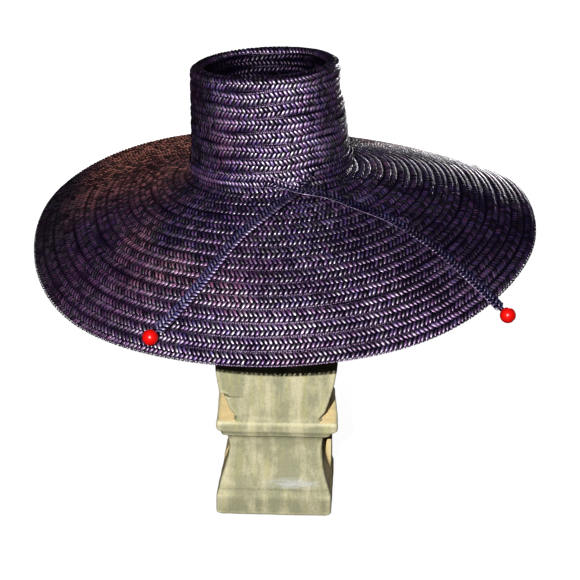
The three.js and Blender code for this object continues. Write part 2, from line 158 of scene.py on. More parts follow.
class HatSizes(bpy.types.PropertyGroup):
    row: bpy.props.FloatProperty(
        name="Row width", description="Width of one sewn row of plait", default=0.0127, unit="LENGTH")
    wall: bpy.props.FloatProperty(
        name="Wall", description="Thickness of the straw", default=0.002, unit="LENGTH")
    head_across: bpy.props.FloatProperty(
        name="Head, half across", description="Half width of the crown's foot", default=0.0795, unit="LENGTH")
    head_long: bpy.props.FloatProperty(
        name="Head, half long", description="Half length of the crown's foot", default=0.097, unit="LENGTH")
    place: bpy.props.FloatVectorProperty(
        name="Place", description="Middle of the crown's foot", default=(-0.0055, 0, 0.372), unit="LENGTH")
    lean: bpy.props.FloatProperty(
        name="Lean", description="Lean of the hat to the viewer's left", default=math.radians(-3.5),
        unit="ROTATION")
    turn: bpy.props.FloatProperty(
        name="Turn", description="Turn of the hat on its stand", default=math.radians(10), unit="ROTATION")
    stitch: bpy.props.FloatProperty(
        name="Stroke pitch", description="Distance between strokes of the plait", default=0.0044,
        unit="LENGTH")
    strip_width: bpy.props.FloatProperty(
        name="Strip width", description="Width of the band and ties", default=0.0115, unit="LENGTH")
    strip_lift: bpy.props.FloatProperty(
        name="Strip lift", description="Height of the strip's underside over the wall's middle",
        default=0.002, unit="LENGTH")
    strip_thickness: bpy.props.FloatProperty(
        name="Strip thickness", description="Thickness of the band and ties", default=0.0018, unit="LENGTH")
    bead_radius: bpy.props.FloatProperty(
        name="Bead radius", description="Radius of the beads", default=0.0073, unit="LENGTH")
    bead_ahead: bpy.props.FloatProperty(
        name="Bead ahead", description="Distance from a tie's end to its bead's middle", default=0.013,
        unit="LENGTH")


class Finishes(bpy.types.PropertyGroup):
    straw_deep: bpy.props.FloatVectorProperty(
        name="Deep straw", description="Darkest strokes of the dyed straw", default=(0.0010, 0.0001, 0.0042),
        subtype="COLOR")
    straw_blue: bpy.props.FloatVectorProperty(
        name="Blue straw", description="Middle strokes of the dyed straw", default=(0.0042, 0.0010, 0.0190),
        subtype="COLOR")
    straw_violet: bpy.props.FloatVectorProperty(
        name="Violet straw", description="Lightest strokes of the dyed straw", default=(0.068, 0.0320, 0.106),
        subtype="COLOR")
    straw_rose: bpy.props.FloatVectorProperty(
        name="Rose straw", description="Reddish patches of the dye", default=(0.062, 0.020, 0.048),
        subtype="COLOR")
    strip_blue: bpy.props.FloatVectorProperty(
        name="Strip blue", description="Lightest strokes of the ties", default=(0.046, 0.040, 0.100),
        subtype="COLOR")
    straw_brown: bpy.props.FloatVectorProperty(
        name="Faded straw", description="Warm tone where the dye is thin", default=(0.200, 0.080, 0.062),
        subtype="COLOR")
    bead_red: bpy.props.FloatVectorProperty(
        name="Bead red", description="Red of the beads", default=(0.33, 0.004, 0.003), subtype="COLOR")
    stone_cream: bpy.props.FloatVectorProperty(
        name="Cream stone", description="Cream of the cast stone", default=(0.246, 0.228, 0.150),
        subtype="COLOR")
    stone_green: bpy.props.FloatVectorProperty(
        name="Green-grey stone", description="Weathered streaks of the stone", default=(0.148, 0.144, 0.092),
        subtype="COLOR")
    stone_ochre: bpy.props.FloatVectorProperty(
        name="Ochre stone", description="Yellowish tint in places", default=(0.208, 0.196, 0.084),
        subtype="COLOR")
    stone_scuff: bpy.props.FloatVectorProperty(
        name="Scuffed stone", description="Pale scuffs low on the waist", default=(0.32, 0.33, 0.36),
        subtype="COLOR")
    # The bare stone's own tan hue, made brighter as painted light on the sides and tops
    lit_stone_tan: bpy.props.FloatVectorProperty(
        name="Tan stone", description="Bare stone at the sides and back", default=(0.58, 0.46, 0.24),
        subtype="COLOR")
    post_wood: bpy.props.FloatVectorProperty(
        name="Post wood", description="Wood of the hidden post", default=(0.36, 0.22, 0.11), subtype="COLOR")
    floor: bpy.props.FloatVectorProperty(
        name="Floor", description="Floor's own colour under its pale glow", default=(0.03, 0.03, 0.03),
        subtype="COLOR")


# Selection and modifiers

def deselect_all():
    if bpy.context.mode != "OBJECT":
        bpy.ops.object.mode_set(mode="OBJECT")
    bpy.ops.object.select_all(action="DESELECT")


def select_only(piece):
    deselect_all()
    piece.select_set(True)
    bpy.context.view_layer.objects.active = piece


def finish_modifier(piece, kind, **values):
    modifier = piece.modifiers.new(kind.title(), kind)
    for name, value in values.items():
        setattr(modifier, name, value)
    select_only(piece)
    bpy.ops.object.modifier_apply(modifier=modifier.name)


def select_faces(piece, test):
    """Selects, in edit mode, the faces whose centre and normal pass the test."""
    select_only(piece)
    bpy.ops.object.mode_set(mode="EDIT")
    bpy.ops.mesh.select_mode(type="FACE")
    bpy.ops.mesh.select_all(action="DESELECT")
    bpy.ops.object.mode_set(mode="OBJECT")
    for face in piece.data.polygons:
        face.select = test(face.center, face.normal)
    bpy.ops.object.mode_set(mode="EDIT")


def mend(piece, merge=False):
    """Turns a piece's faces outwards, once its doubles are merged where that is asked."""
    select_only(piece)
    bpy.ops.object.mode_set(mode="EDIT")
    bpy.ops.mesh.select_all(action="SELECT")
    if merge:
        bpy.ops.mesh.remove_doubles(threshold=MERGE_UNDER)
    bpy.ops.mesh.normals_make_consistent(inside=False)
    bpy.ops.object.mode_set(mode="OBJECT")


def coords(piece):
    flat = np.zeros(len(piece.data.vertices) * 3, np.float32)
    piece.data.vertices.foreach_get("co", flat)
    return flat.reshape(-1, 3).astype(float)


def set_coords(piece, points):
    piece.data.vertices.foreach_set("co", np.asarray(points, np.float32).ravel())
    piece.data.update()


def set_attribute(piece, name, values):
    layer = piece.data.attributes.get(name) or piece.data.attributes.new(name, "FLOAT", "POINT")
    layer.data.foreach_set("value", np.asarray(values, np.float32))


def attribute_values(piece, name):
    values = np.zeros(len(piece.data.vertices), np.float32)
    piece.data.attributes[name].data.foreach_get("value", values)
    return values


def eased(value, start, end):
    share = np.clip((value - start) / (end - start), 0, 1)
    return share * share * (3 - 2 * share)


def join(pieces):
    deselect_all()
    for piece in pieces:
        piece.select_set(True)
    bpy.context.view_layer.objects.active = pieces[0]
    bpy.ops.object.join()
    return pieces[0]


def dress(piece, material):
    piece.data.materials.clear()
    piece.data.materials.append(material)


def finish_piece(piece, name, *nodes):
    """Names a piece, smooths it and seats it on the frame in place of its nodes."""
    piece.name = name
    piece.data.name = name
    select_only(piece)
    bpy.ops.object.transform_apply(location=True, rotation=True, scale=True)
    bpy.ops.object.shade_smooth_by_angle(angle=SMOOTH_UNDER)
    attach(piece, "root")
    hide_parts(*nodes)
    deselect_all()


# Shape of the straw

def smooth_line(a, b, c, d, u):
    """Catmull-Rom curve from b to c, u being the share of the way."""
    return b + 0.5 * u * (c - a + u * (2 * a - 5 * b + 4 * c - d + u * (3 * (b - c) + d - a)))


def round_table(column, toward):
    """Value of a column of the brim's table, smooth all the way round."""
    rows = np.array([row[column] for row in BRIM], float)
    place = np.mod(toward, 360) * len(rows) / 360
    first = np.floor(place).astype(int)
    return smooth_line(*(rows[(first + k) % len(rows)] for k in (-1, 0, 1, 2)), place - first)


def walk(runs, distance):
    """Place and heading at a distance along a profile of lines and arcs, where the last run goes on."""
    distance = np.asarray(distance, float)
    out, height = np.zeros_like(distance), np.zeros_like(distance)
    left = distance.copy()
    heading = np.zeros_like(distance)
    for i, (length, start, end) in enumerate(runs):
        step = left if i == len(runs) - 1 else np.minimum(left, length)
        bend = np.radians(end - start) * step / length
        chord = step * np.sinc(bend / (2 * np.pi))
        middle = np.radians(start) + bend / 2
        out = out + chord * np.cos(middle)
        height = height + chord * np.sin(middle)
        heading = np.where((left > 0) | (i == 0), np.radians(start) + bend, heading)
        left = left - step
    return out, height, heading


def crown_runs(row):
    return [(run["rows"] * row, run["from"], run["to"]) for run in CROWN_RUNS]


def brim_runs(row, toward):
    width = round_table("width", toward) * MM
    start = -round_table("start", toward)
    return [
        (TURN_ROWS * row, CROWN_RUNS[0]["from"] - 180, start),
        (width - TURN_ROWS * row, start, -round_table("edge", toward)),
    ]


def on_oval(sizes, toward, out, height):
    turn = np.radians(toward)
    x = (sizes.head_across + out) * np.sin(turn)
    y = -(sizes.head_long + out) * np.cos(turn)
    return np.stack(np.broadcast_arrays(x, y, height), axis=-1)


def hat_to_world(sizes, points):
    turn = Matrix.Rotation(sizes.lean, 3, "Y") @ Matrix.Rotation(sizes.turn, 3, "Z")
    return points @ np.array(turn).T + np.array(sizes.place)


def on_crown(sizes, toward, distance, raised):
    """Points on the crown's wall, rim and tip, at a distance from the foot and raised off the middle."""
    toward, distance, raised = np.broadcast_arrays(toward, distance, raised)
    runs = crown_runs(sizes.row)
    tip_start = CROWN_ROWS * sizes.row
    out, height, heading = walk(runs, np.minimum(distance, tip_start))
    beyond = np.maximum(distance - tip_start, 0)
    for dent in DENTS:
        away = np.mod(toward - dent["toward"] + 180, 360) - 180
        up = (height / MM - dent["height"]) / dent["up"]
        out = out - dent["depth"] * MM * np.exp(-(away / dent["degrees"]) ** 2 - up ** 2)
    out = np.maximum(out + raised * np.sin(heading) - beyond, -sizes.head_across)
    return hat_to_world(sizes, on_oval(sizes, toward, out, height - raised * np.cos(heading)))


def on_brim(sizes, toward, along, raised):
    """Points on the brim, at a distance from the crown's foot and raised off the wall's middle."""
    toward, along, raised = np.broadcast_arrays(toward, along, raised)
    out, height, heading = walk(brim_runs(sizes.row, toward), along)
    points = on_oval(sizes, toward, out - raised * np.sin(heading), height + raised * np.cos(heading))
    return hat_to_world(sizes, points)


def on_hat(sizes, toward, along, raised):
    up = np.asarray(along) < 0
    crown = on_crown(sizes, toward, np.maximum(-np.asarray(along), 0), raised)
    brim = on_brim(sizes, toward, np.maximum(along, 0), raised)
    return np.where(up[..., None], crown, brim)


# Plait: one cell of slanted strokes, modelled once and repeated along every row

# Strokes of one cell: place along in pitches and across in rows, half length, half width, height in walls
STROKES = [
    {"along": 0.0, "across": 0.27, "length": 0.22, "width": 0.45, "height": 0.48, "sides": 6},
    {"along": 0.5, "across": 0.72, "length": 0.22, "width": 0.45, "height": 0.52, "sides": 6},
    {"along": 0.2, "across": 0.03, "length": 0.06, "width": 0.24, "height": 0.16, "sides": 4},
    {"along": 0.7, "across": 0.05, "length": 0.06, "width": 0.24, "height": 0.16, "sides": 4},
    {"along": 0.0, "across": 0.96, "length": 0.06, "width": 0.26, "height": 0.18, "sides": 4},
    {"along": 0.5, "across": 0.98, "length": 0.06, "width": 0.26, "height": 0.18, "sides": 4},
]
FINE_SIDES = 4
SLANT = 0.75
STROKE_TIP = (0.5, 1, 0.2)
STROKE_SLOPE = 0.16

# Spread of the strokes' lie within their cells, and of a row's path in waves round the hat
LIE_SPREAD = {"tilt": 0.10, "swing": 0.10, "rise": 0.03, "slip": 0.05}
ROW_WAVER = 0.03
ROW_WAVES = (3, 5, 7)
FEWEST_STROKES = 6
RING_POINTS = 721

# Tone and gloss: those of the fine strokes, the tone at a stroke's edges and ends (painted shade where the
# strokes meet), and gloss's spread
FINE_TONE, FINE_GLOSS = 0.5, 0.25
EDGE_SHADE_TONE, END_SHADE_TONE = 0.3, 0.3
GLOSS_LEAST, GLOSS_SPREAD, GLOSS_POWER = 0.14, 0.92, 1.3

# Ridges in walls: height of a crown row's and a brim row's, the brim's lean, and how deep both begin
CROWN_RIDGE, BRIM_RIDGE, BRIM_LEAN, RIDGE_FOOT = 0.30, 0.26, 1.2, 0.22

# Ground shell: faces round the hat and in each row, and depth and thickness in walls
SHELL_ROUND, SHELL_PER_ROW = 120, 3
SHELL_DEPTH, SHELL_THICKNESS = 0.12, 0.2


def model_stroke(row):
    """One puffed straw: a short prism drawn in towards both ends, or a plain spindle where it is fine."""
    fine = row["sides"] == FINE_SIDES
    if fine:
        bpy.ops.mesh.primitive_uv_sphere_add(
            segments=FINE_SIDES, ring_count=2, radius=1, rotation=(math.radians(90), 0, 0))
    else:
        bpy.ops.mesh.primitive_cylinder_add(
            vertices=row["sides"], radius=1, depth=1.0, end_fill_type="NGON",
            rotation=(math.radians(90), math.radians(30), 0))
    stroke = bpy.context.active_object
    bpy.ops.object.transform_apply(location=True, rotation=True, scale=True)
    if not fine:
        for side in (-1, 1):
            select_faces(stroke, lambda c, n, s=side: n.y * s > 0.9)
            bpy.ops.mesh.extrude_region_move(TRANSFORM_OT_translate={"value": (0, side * 0.5, 0)})
            bpy.ops.transform.resize(value=STROKE_TIP)
            bpy.ops.object.mode_set(mode="OBJECT")
    points = coords(stroke)
    points = np.stack([
        row["along"] + points[:, 0] * row["width"],
        row["across"] + points[:, 1] * row["length"],
        (points[:, 2] + STROKE_SLOPE * points[:, 0]) * row["height"]], axis=1)
    set_coords(stroke, points)
    return stroke


def model_cell(name="Dyed straw", maker=None):
    """One cell of the plait, one pitch long and one row wide, with a number on each of its strokes."""
    strokes = [model_stroke(row) for row in STROKES]
    for number, stroke in enumerate(strokes):
        set_attribute(stroke, "stroke_number", np.full(len(stroke.data.vertices), number))
    cell = join(strokes)
    dress(cell, material_once(name, maker or straw_finish))
    return cell


def plait_row(cell, count, seed, gloss, bright=1, pale=0):
    """A straight row of the plait, count pitches long, whose strokes differ in tone, gloss and lie."""
    piece = cell.copy()
    piece.data = cell.data.copy()
    bpy.context.collection.objects.link(piece)
    finish_modifier(
        piece, "ARRAY", count=count, use_relative_offset=False, use_constant_offset=True,
        constant_offset_displace=(1, 0, 0))
    points = coords(piece)
    number = np.rint(attribute_values(piece, "stroke_number")).astype(int)
    stroke = number + len(STROKES) * (np.arange(len(points)) // len(cell.data.vertices))
    strokes = stroke.max() + 1
    random = np.random.default_rng(seed)
    fine = np.array([row["sides"] == FINE_SIDES for row in STROKES])[np.arange(strokes) % len(STROKES)]
    size = np.bincount(stroke)
    middle = np.stack([np.bincount(stroke, points[:, k]) / size for k in range(3)], axis=1)[stroke]
    away = points - middle
    width, length = (
        np.array([row[name] for row in STROKES])[stroke % len(STROKES)] for name in ("width", "length"))
    crest = 1 - np.clip(2 * np.abs(away[:, 0]) / width - 1, 0, 1)
    body = 1 - np.clip(2 * np.abs(away[:, 1]) / length - 1, 0, 1)
    tone = bright * (pale + (1 - pale) * random.random(strokes)) * np.where(fine, FINE_TONE, 1)
    shine = gloss * (GLOSS_LEAST + GLOSS_SPREAD * random.random(strokes) ** GLOSS_POWER)
    shine = shine * np.where(fine, FINE_GLOSS, 1)
    # Painted shade: each stroke's tone falls towards its edges and ends, where shade lies between the strokes
    painted_stroke_shade = (EDGE_SHADE_TONE + (1 - EDGE_SHADE_TONE) * crest) * (END_SHADE_TONE + (1 - END_SHADE_TONE) * body)
    set_attribute(piece, "straw_aside", away[:, 0] / width)
    set_attribute(piece, "straw_tone_and_shade", tone[stroke] * painted_stroke_shade)
    set_attribute(piece, "straw_gloss", shine[stroke] * crest)
    tilt, swing, rise, slip = (
        random.normal(0, LIE_SPREAD[name], strokes)[stroke] for name in ("tilt", "swing", "rise", "slip"))
    points[:, 2] += rise + tilt * away[:, 0]
    points[:, 0] += slip + 2 * swing * away[:, 1]
    return piece, points


def slanted(points, slant):
    """Leans the strokes of a row towards its middle, which makes the chevrons."""
    return points[:, 0] + slant * (1 - np.abs(2 * points[:, 1] - 1))


def crown_ridge(sizes, across):
    """Height of a crown row over its wall's middle, highest along its own middle."""
    return sizes.wall * (CROWN_RIDGE * np.sin(np.pi * np.mod(across, 1)) - RIDGE_FOOT)


def brim_ridge(sizes, across):
    """Height of a brim row over its wall's middle: each row laps a little over the next one out."""
    return sizes.wall * (BRIM_RIDGE * np.sin(np.pi * np.mod(across, 1) ** BRIM_LEAN) - RIDGE_FOOT)


def ring_toward(sizes, place, middle, shares):
    """Directions that lie at equal shares of the way round a row."""
    toward = np.linspace(0, 360, RING_POINTS)
    line = place(sizes, toward, middle(toward), 0)
    lengths = np.concatenate([[0], np.cumsum(np.linalg.norm(np.diff(line, axis=0), axis=1))])
    whole = np.floor(shares)
    return 360 * whole + np.interp(shares - whole, lengths / lengths[-1], toward), lengths[-1]


def plait_rings(sizes, cell, place, distance_at, rows, seed, ridge, look):
    """Rows of plait sewn round the hat. distance_at gives a row's distance at a share of its width."""
    pieces = []
    for row in rows:
        middle = lambda toward, r=row: distance_at(toward, r + 0.5)
        length = ring_toward(sizes, place, middle, np.zeros(1))[1]
        count = max(FEWEST_STROKES, round(length / sizes.stitch))
        piece, points = plait_row(cell, count, seed + row, *look)
        random = np.random.default_rng(seed + WAVER_SEED + row)
        toward = ring_toward(sizes, place, middle, (slanted(points, SLANT) + random.random()) / count)[0]
        turn = np.radians(toward)
        waver = sum(
            random.normal(0, ROW_WAVER) * np.sin(k * turn + random.uniform(0, 6)) for k in ROW_WAVES)
        across = points[:, 1]
        raised = ridge(sizes, np.clip(across, 0, 0.999)) + points[:, 2] * sizes.wall
        set_coords(piece, place(sizes, toward, distance_at(toward, row + across + waver), raised))
        pieces.append(piece)
    return pieces


def ground_shell(sizes, place, distance_at, first, last, ridge):
    """The thin closed shell of straw behind the strokes, all the way round the hat and wavy as its rows."""
    bpy.ops.mesh.primitive_grid_add(
        x_subdivisions=SHELL_ROUND, y_subdivisions=round(SHELL_PER_ROW * (last - first)), size=1)
    piece = bpy.context.active_object
    points = coords(piece)
    toward = (points[:, 0] + 0.5) * 360
    share = first + (points[:, 1] + 0.5) * (last - first)
    raised = ridge(sizes, share) - SHELL_DEPTH * sizes.wall
    set_coords(piece, place(sizes, toward, distance_at(toward, share), raised))
    mend(piece, merge=True)
    finish_modifier(piece, "SOLIDIFY", thickness=sizes.wall * SHELL_THICKNESS, offset=0)
    dress(piece, material_once("Straw ground", ground_finish))
    return piece


def sew_pieces(sizes, table, cells, place, distance_at, seed, ridge):
    """Models the pieces of a table, each a shell with its rows of plait, and seats them on the frame."""
    for part, cell in zip(table, cells):
        shell = ground_shell(sizes, place, distance_at, *part["shell"], ridge)
        plait = plait_rings(
            sizes, cell, place, distance_at, range(*part["rows"]), seed, ridge, part["look"])
        finish_piece(join([shell, *plait]), part["name"], part["node"])


def remove(piece):
    mesh = piece.data
    bpy.data.objects.remove(piece)
    bpy.data.meshes.remove(mesh)


# Band and ties

# Strip: pitch, gloss and palest tone against the hat's, and lead in pitches
STRIP_PITCH, STRIP_GLOSS, STRIP_PALE, STRIP_LEAD = 0.86, 0.9, 0.4, 0.6

# Strip's heights in its own thickness: middle, dome across it, and height of its strokes
STRIP_MIDDLE, STRIP_DOME, STRIP_STROKE = 0.5, 0.12, 0.9

# Ribbon behind the strokes: step along it, width in strips, height and thickness in strip thicknesses
RIBBON_STEP, RIBBON_WIDTH, RIBBON_HEIGHT, RIBBON_THICKNESS = 0.0025, 0.94, 0.4, 0.25

# Ties: brightness at the start and its gain, taper, narrowest share, and reach beyond the route
TIE_BRIGHT, TIE_GAIN = 0.6, 0.8
TIE_TAPER, TIE_NARROWEST = 0.003, 0.5
STRIP_BEYOND = 0.006
TIE_END_SIDES = 10
TIE_END = [
    {"ahead": 0.0020, "radius": 0.00080},
    {"ahead": 0.0040, "radius": 0.00110},
    {"ahead": 0.0060, "radius": 0.00115},
    {"ahead": 0.0195, "radius": 0.00115},
    {"ahead": 0.0200, "radius": 0.00060},
]
EDGE_CORD = {"start": 0.02, "end": 0.985, "points": 90, "lift": 0.75, "radius": 0.0004, "sides": 8}

# Steps that a route is measured in, and the small shares and degrees that give its directions
ROUTE_POINTS = 1201
ROUTE_NEAR, ROUTE_BACK, ROUTE_DEGREES = 0.005, 0.98, 0.5


class Route:
    """A smooth line on the straw, with its length, its far end and the way that it points there."""

    def __init__(self, sizes, table):
        self.sizes = sizes
        self.control = np.array([[row["toward"], row["along"], row["lift"]] for row in table], float)
        share = np.linspace(0, 1, ROUTE_POINTS)
        line = self.surface(share, 0, 0)
        steps = np.linalg.norm(np.diff(line, axis=0), axis=1)
        lengths = np.concatenate([[0], np.cumsum(steps)])
        self.length = lengths[-1]
        self.share, self.lengths = share, lengths
        end, back = self.surface(np.array([1.0, ROUTE_BACK]), 0, sizes.strip_thickness / 2)
        self.end = Vector(end)
        self.forward = Vector(end - back).normalized()

    def curve(self, share):
        """Catmull-Rom line through the table's rows."""
        rows = self.control
        padded = np.vstack([2 * rows[0] - rows[1], rows, 2 * rows[-1] - rows[-2]])
        place = np.clip(share, 0, 1) * (len(rows) - 1)
        first = np.minimum(np.floor(place).astype(int), len(rows) - 2)
        return smooth_line(*(padded[first + k] for k in range(4)), (place - first)[:, None])

    def surface(self, share, aside, raised):
        """Points of the strip, aside in metres to the right of its way and raised over its underside."""
        at = self.curve(share)
        ahead = self.curve(share + ROUTE_NEAR) - self.curve(share - ROUTE_NEAR)
        toward, along = at[:, 0], at[:, 1] * MM
        left, right = (on_hat(self.sizes, toward + side * ROUTE_DEGREES, along, 0) for side in (-1, 1))
        degree = np.linalg.norm(right - left, axis=1)
        round_hat, down_straw = ahead[:, 0] * degree, ahead[:, 1] * MM
        run = np.hypot(round_hat, down_straw)
        shift_toward = aside * down_straw / run / degree
        shift_along = -aside * round_hat / run
        lift = self.sizes.strip_lift + at[:, 2] * MM + raised
        return on_hat(self.sizes, toward + shift_toward, along + shift_along, lift)

    def at_length(self, distance):
        return np.interp(distance, self.lengths, self.share)


def plait_strip(sizes, cell, route, seed, taper):
    """The flat plaited strip along a route, narrowing over its last stretch where it ends in a bead."""
    length = route.length + STRIP_BEYOND * bool(taper)
    count = round(length / (sizes.stitch * STRIP_PITCH))
    piece, points = plait_row(cell, count, seed, STRIP_GLOSS, pale=STRIP_PALE)
    distance = np.clip((slanted(points, SLANT) - STRIP_LEAD) / count, 0, 1) * length
    aside = (points[:, 1] - 0.5) * sizes.strip_width
    dome = STRIP_DOME * np.sin(np.pi * np.clip(points[:, 1], 0, 1))
    raised = (STRIP_MIDDLE + dome + points[:, 2] * STRIP_STROKE) * sizes.strip_thickness
    if taper:
        aside = aside * np.clip((length - distance) / taper, TIE_NARROWEST, 1)
        brighter = TIE_BRIGHT + TIE_GAIN * distance / length
        for name in ("straw_tone_and_shade", "straw_gloss"):
            set_attribute(piece, name, attribute_values(piece, name) * brighter)
    beyond = np.maximum(distance - route.length, 0)[:, None] * np.array(route.forward)
    set_coords(piece, route.surface(route.at_length(distance), aside, raised) + beyond)
    return piece


def strip_ground(sizes, route, beyond):
    """The thin dark ribbon of straw behind the strokes of a strip."""
    steps = round(route.length / RIBBON_STEP)
    bpy.ops.mesh.primitive_grid_add(x_subdivisions=steps, y_subdivisions=2, size=1)
    piece = bpy.context.active_object
    points = coords(piece)
    distance = (points[:, 0] + 0.5) * (route.length + beyond)
    aside = points[:, 1] * sizes.strip_width * RIBBON_WIDTH
    past = np.maximum(distance - route.length, 0)
    if beyond:
        aside = aside * np.where(past > 0.5 * beyond, TIE_NARROWEST, 1)
    raised = np.full(len(points), RIBBON_HEIGHT * sizes.strip_thickness)
    place = route.surface(route.at_length(distance), aside, raised)
    set_coords(piece, place + past[:, None] * np.array(route.forward))
    mend(piece)
    finish_modifier(piece, "SOLIDIFY", thickness=sizes.strip_thickness * RIBBON_THICKNESS, offset=0)
    dress(piece, material_once("Straw ground", ground_finish))
    return piece


def tube(path, radii, sides):
    """A round tube through points, extruded ring by ring from a circle."""
    path = [Vector(p) for p in path]
    bpy.ops.mesh.primitive_circle_add(vertices=sides, radius=1, fill_type="NGON")
    piece = bpy.context.active_object
    for _ in path[1:]:
        select_faces(piece, lambda c, n, z=len(piece.data.vertices) // sides - 1: abs(c.z - z) < 0.01)
        bpy.ops.mesh.extrude_region_move(TRANSFORM_OT_translate={"value": (0, 0, 1)})
        bpy.ops.object.mode_set(mode="OBJECT")
    points = coords(piece)
    level = np.rint(points[:, 2]).astype(int)
    placed = np.zeros_like(points)
    side = None
    for i, at in enumerate(path):
        ahead = (path[min(i + 1, len(path) - 1)] - path[max(i - 1, 0)]).normalized()
        if side is None:
            side = ahead.orthogonal().normalized()
        side = (side - ahead * side.dot(ahead)).normalized()
        other = ahead.cross(side)
        ring = level == i
        flat = points[ring][:, :2] * radii[i]
        placed[ring] = np.array(at) + flat[:, :1] * np.array(side) + flat[:, 1:] * np.array(other)
    set_coords(piece, placed)
    mend(piece)
    return piece


# Tie ends, edge cords, beads and the stone's shape

# Tone and gloss of a tie's end
END_VALUES = {"straw_tone_and_shade": 0.2, "straw_gloss": 0.1}

# Bead: where its hole is cut, as a share of its radius, and the rounding of the hole's rims
BEAD_CUT, BEAD_RIM = 0.972, 0.0004

# Stone: size of the remesh's cells, depth of wear, and the heights and depths that its shifts fade over
STONE_GRAIN, STONE_WEAR = 0.0018, 0.0014
PLINTH_TOP, LEDGE, BOWL_FOOT = (0.040, 0.056), (0.0885, 0.0935), (0.1085, 0.114)
SLAB_FRONT, BLOCK_DEEP = (0, 0.008), (-0.045, 0.05)
SLAB_DRAWN_IN, SLAB_KEPT_FROM, BLOCK_SHIFT = 0.65, -0.049, 0.0048
CRACK = {
    "height": 0.1355, "slope": 0.12, "at": -0.057, "half_width": 0.0011, "end": -0.046, "fade": 0.006,
    "depth": 0.0035, "front": -0.03, "inward": 0.6}


def tie_end(route):
    """The drawn-together end of a tie, which passes through its bead."""
    path = [route.end + route.forward * stop["ahead"] for stop in TIE_END]
    end = tube(path, [stop["radius"] for stop in TIE_END], TIE_END_SIDES)
    dress(end, material_once("Dyed strip", strip_finish))
    for name, value in END_VALUES.items():
        set_attribute(end, name, np.full(len(end.data.vertices), value))
    return end


def edge_cord(sizes, route, tie):
    """The thin straw along one edge of a tie: speckled pale on the right tie, dark on the left."""
    count = EDGE_CORD["points"]
    share = np.linspace(EDGE_CORD["start"], EDGE_CORD["end"], count)
    aside = np.full(count, tie["cord_aside"] * sizes.strip_width)
    line = route.surface(share, aside, sizes.strip_thickness * EDGE_CORD["lift"])
    cord = tube(line, [EDGE_CORD["radius"]] * count, EDGE_CORD["sides"])
    dress(cord, material_once("Dyed strip", strip_finish))
    speckle = tie["cord_pale"] * np.random.default_rng(tie["seed"]).random(len(cord.data.vertices)) ** 2
    for name in ("straw_tone_and_shade", "straw_gloss"):
        set_attribute(cord, name, speckle)
    return cord


def model_bead(radius):
    """A ball with a hole along its height and a softly rounded rim at each end of the hole."""
    bpy.ops.mesh.primitive_uv_sphere_add(segments=40, ring_count=24, radius=radius)
    bead = bpy.context.active_object
    for end in (1, -1):
        select_faces(bead, lambda c, n, e=end: c.z * e > radius * BEAD_CUT)
        bpy.ops.mesh.delete(type="FACE")
        bpy.ops.object.mode_set(mode="OBJECT")
    select_only(bead)
    bpy.ops.object.mode_set(mode="EDIT")
    bpy.ops.mesh.select_all(action="DESELECT")
    bpy.ops.mesh.select_mode(type="EDGE")
    bpy.ops.mesh.select_non_manifold()
    bpy.ops.mesh.bridge_edge_loops()
    bpy.ops.object.mode_set(mode="OBJECT")
    mend(bead)
    finish_modifier(bead, "BEVEL", width=BEAD_RIM, segments=2, angle_limit=SMOOTH_UNDER)
    return bead


def shift_slab_and_block(points):
    """Draws in the slab's left side beside the waist, and moves the block's back to the left."""
    x, y, z = points.T
    slab = eased(y, *SLAB_FRONT) * eased(z, *PLINTH_TOP) * (1 - eased(z, *LEDGE))
    block = eased(y, *BLOCK_DEEP) * eased(z, *LEDGE) * (1 - eased(z, *BOWL_FOOT))
    x -= SLAB_DRAWN_IN * slab * np.minimum(x - SLAB_KEPT_FROM, 0) + BLOCK_SHIFT * block


def cut_crack(points):
    """Notches the front at the left, where the crack meets the bowl's edge."""
    x, y, z = points.T
    level = (z - CRACK["height"] + CRACK["slope"] * (x - CRACK["at"])) / CRACK["half_width"]
    reach = np.clip((CRACK["end"] - x) / CRACK["fade"], 0, 1)
    notch = CRACK["depth"] * reach * np.exp(-level ** 2) * (y < CRACK["front"])
    y += notch
    x += CRACK["inward"] * notch


# Materials

def new_group(name, inputs, outputs):
    group = bpy.data.node_groups.new(name, "ShaderNodeTree")
    for label, kind, value in inputs:
        socket = group.interface.new_socket(name=label, in_out="INPUT", socket_type=kind)
        if value is not None:
            socket.default_value = value
    for label, kind in outputs:
        group.interface.new_socket(name=label, in_out="OUTPUT", socket_type=kind)
    group.nodes.new("NodeGroupInput")
    group.nodes.new("NodeGroupOutput")
    return group


def feed(tree, socket, value):
    """Links another node's output to a socket, or sets it to a plain value."""
    if isinstance(value, bpy.types.NodeSocket):
        tree.links.new(value, socket)
    else:
        socket.default_value = value


def node(tree, kind, inputs=None, **values):
    """A node with its settings made first, then its sockets linked or set."""
    made = tree.nodes.new(kind)
    for name, value in values.items():
        setattr(made, name, value)
    for name, value in (inputs or {}).items():
        feed(tree, made.inputs[name], value)
    return made


def reckon(tree, operation, *values, **settings):
    """Result of one operation on one, two or three values."""
    made = node(tree, "ShaderNodeMath", dict(enumerate(values)), operation=operation, **settings)
    return made.outputs[0]


def product(tree, *values):
    result = values[0]
    for value in values[1:]:
        result = reckon(tree, "MULTIPLY", result, value)
    return result


def step(tree, value, start, end, low=0.0, high=1.0):
    """A straight slope from low at the start to high at the end, level before and after."""
    made = node(tree, "ShaderNodeMapRange", {
        "Value": value, "From Min": start, "From Max": end, "To Min": low, "To Max": high})
    return made.outputs[0]


def noise(tree, place, scale, detail, roughness=0.5):
    made = node(tree, "ShaderNodeTexNoise", {
        "Vector": place, "Scale": scale, "Detail": detail, "Roughness": roughness})
    return made.outputs["Fac"]


def ramp(tree, factor, stops):
    """A colour for each value, from stops that hold a place and a grey or a colour."""
    made = node(tree, "ShaderNodeValToRGB", {"Fac": factor})
    while len(made.color_ramp.elements) < len(stops):
        made.color_ramp.elements.new(0.5)
    for element, (place, colour) in zip(made.color_ramp.elements, stops):
        element.position = place
        element.color = (*colour, 1) if isinstance(colour, tuple) else (colour, colour, colour, 1)
    return made.outputs["Color"]


